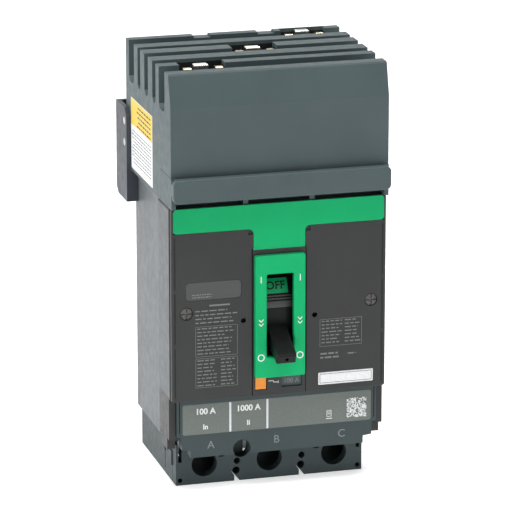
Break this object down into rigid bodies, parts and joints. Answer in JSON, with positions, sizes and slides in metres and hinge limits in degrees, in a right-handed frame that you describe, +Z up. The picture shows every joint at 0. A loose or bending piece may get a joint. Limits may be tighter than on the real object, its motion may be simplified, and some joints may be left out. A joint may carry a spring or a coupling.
{
  "type": "molded case breaker",
  "caption": "Plug-on molded case circuit breaker with a toggle, wire lugs at one end and busbar jaws in a slotted comb at the other.",
  "frame": {"origin": "centre of the bounding box's lowest face, at the load end", "axes": "+X across the poles to the right, +Y to the rear, +Z up to the line end"},
  "size_m": [0.1094, 0.1115, 0.2049],
  "materials": {
    "case_plastic": "fine matte moulding",
    "cover_plastic": "satin black moulding",
    "housing_plastic": "fine matte moulding",
    "green_plastic": "satin",
    "toggle_plastic": "satin",
    "orange_plastic": "satin",
    "rating_print": "printed film",
    "label_white": "printed label",
    "window_clear": "clear",
    "black_oxide": "black oxide",
    "zinc_steel": "zinc plated",
    "bracket_steel": "dark slate paint",
    "chute_steel": "plain steel plates",
    "spring_steel": "drawn wire",
    "copper": "drawn copper",
    "bimetal": "rolled strip",
    "silver_plate": "silver plated",
    "jaw_spring": "plated spring strip",
    "lug_aluminium": "tin plated",
    "inner_plastic": "glass-filled moulding"
  },
  "bodies": {
    "case": {"base_case": "case_plastic", "accessory_cover": "cover_plastic", "front_case": "cover_plastic", "plug_on_housing": "housing_plastic", "terminal_shield": "housing_plastic", "trip_unit_case": "housing_plastic", "lug_block": "housing_plastic", "header_plate": "green_plastic", "escutcheon": "green_plastic", "rating_plate": "rating_print", "blank_label": "label_white", "indicator_window": "window_clear", "cover_screws": "black_oxide", "case_screws": "zinc_steel", "bracket_screws": "zinc_steel", "side_frames": "zinc_steel", "magnet_yokes": "zinc_steel", "mounting_bracket": "bracket_steel", "arc_chutes_a": "chute_steel", "arc_chutes_b": "chute_steel", "arc_chutes_c": "chute_steel", "line_strap_a": "copper", "line_strap_b": "copper", "line_strap_c": "copper", "load_strap_a": "copper", "load_strap_b": "copper", "load_strap_c": "copper", "bimetal_a": "bimetal", "bimetal_b": "bimetal", "bimetal_c": "bimetal", "jaw_a": "silver_plate", "jaw_b": "silver_plate", "jaw_c": "silver_plate", "jaw_springs": "jaw_spring", "lug_a": "lug_aluminium", "lug_b": "lug_aluminium", "lug_c": "lug_aluminium", "pole_cartridge_a": "inner_plastic", "pole_cartridge_b": "inner_plastic", "pole_cartridge_c": "inner_plastic"},
    "handle": {"toggle": "toggle_plastic", "toggle_yoke": "zinc_steel", "toggle_springs": "spring_steel"},
    "crossbar": {"crossbar_rods": "zinc_steel", "contact_arms": "copper", "rotor_a": "inner_plastic", "rotor_b": "inner_plastic", "rotor_c": "inner_plastic"},
    "lower_link": {"lower_links": "zinc_steel"},
    "upper_link": {"upper_links": "zinc_steel", "knee_pin": "zinc_steel"},
    "cradle": {"cradle": "zinc_steel"},
    "trip_bar": {"trip_bar": "inner_plastic"},
    "trip_button": {"push_to_trip_button": "orange_plastic"},
    "armature_a": {"armature_a": "zinc_steel"},
    "lug_screw_a": {"lug_screw_a": "zinc_steel"},
    "armature_b": {"armature_b": "zinc_steel"},
    "lug_screw_b": {"lug_screw_b": "zinc_steel"},
    "armature_c": {"armature_c": "zinc_steel"},
    "lug_screw_c": {"lug_screw_c": "zinc_steel"}
  },
  "joints": [
    {"name": "toggle_swing", "type": "hinge", "parent": "case", "child": "handle", "pos_m": [0, -0.0109, 0.087], "axis": [-1, 0, 0], "range_deg": [0, 45.4], "deforming": ["toggle_springs"]},
    {"name": "crossbar_turn", "type": "hinge", "parent": "case", "child": "crossbar", "pos_m": [0, 0.0164, 0.088], "axis": [-1, 0, 0], "range_deg": [0, 36.1]},
    {"name": "lower_link_swing", "type": "hinge", "parent": "crossbar", "child": "lower_link", "pos_m": [0, 0.00718, 0.0903], "axis": [-1, 0, 0], "range_deg": [-25.6, 0]},
    {"name": "push_to_trip", "type": "slide", "parent": "case", "child": "trip_button", "axis": [0, 1, 0], "range_m": [0, 0.0025], "stiffness_N_per_m": 300},
    {"name": "trip_bar_turn", "type": "hinge", "parent": "case", "child": "trip_bar", "pos_m": [0, -0.0142, 0.0512], "axis": [-1, 0, 0], "range_deg": [0, 12.1]},
    {"name": "cradle_release", "type": "hinge", "parent": "case", "child": "cradle", "pos_m": [0, -0.0186, 0.113], "axis": [-1, 0, 0], "range_deg": [0, 2.1]},
    {"name": "upper_link_swing", "type": "hinge", "parent": "cradle", "child": "upper_link", "pos_m": [0, -0.0266, 0.082], "axis": [-1, 0, 0], "range_deg": [-28.4, 0]},
    {"name": "armature_a_swing", "type": "hinge", "parent": "case", "child": "armature_a", "pos_m": [-0.0322, -0.0102, 0.0415], "axis": [1, 0, 0], "range_deg": [0, 5], "stiffness_Nm_per_rad": 0.01},
    {"name": "lug_screw_a_travel", "type": "slide", "parent": "case", "child": "lug_screw_a", "axis": [0, 1, 0], "range_m": [0, 0.008]},
    {"name": "armature_b_swing", "type": "hinge", "parent": "case", "child": "armature_b", "pos_m": [0, -0.0102, 0.0415], "axis": [1, 0, 0], "range_deg": [0, 5], "stiffness_Nm_per_rad": 0.01},
    {"name": "lug_screw_b_travel", "type": "slide", "parent": "case", "child": "lug_screw_b", "axis": [0, 1, 0], "range_m": [0, 0.008]},
    {"name": "armature_c_swing", "type": "hinge", "parent": "case", "child": "armature_c", "pos_m": [0.0322, -0.0102, 0.0415], "axis": [1, 0, 0], "range_deg": [0, 5], "stiffness_Nm_per_rad": 0.01},
    {"name": "lug_screw_c_travel", "type": "slide", "parent": "case", "child": "lug_screw_c", "axis": [0, 1, 0], "range_m": [0, 0.008]}
  ],
  "couplings": [
    {"joint": "crossbar_turn", "follows": "toggle_swing", "ratio": 0.79295},
    {"joint": "lower_link_swing", "follows": "toggle_swing", "ratio": -0.56162},
    {"joint": "upper_link_swing", "follows": "toggle_swing", "ratio": -0.62245},
    {"joint": "trip_bar_turn", "follows": "push_to_trip", "rad_per_m": 83.776},
    {"joint": "cradle_release", "follows": "push_to_trip", "rad_per_m": 13.963}
  ]
}
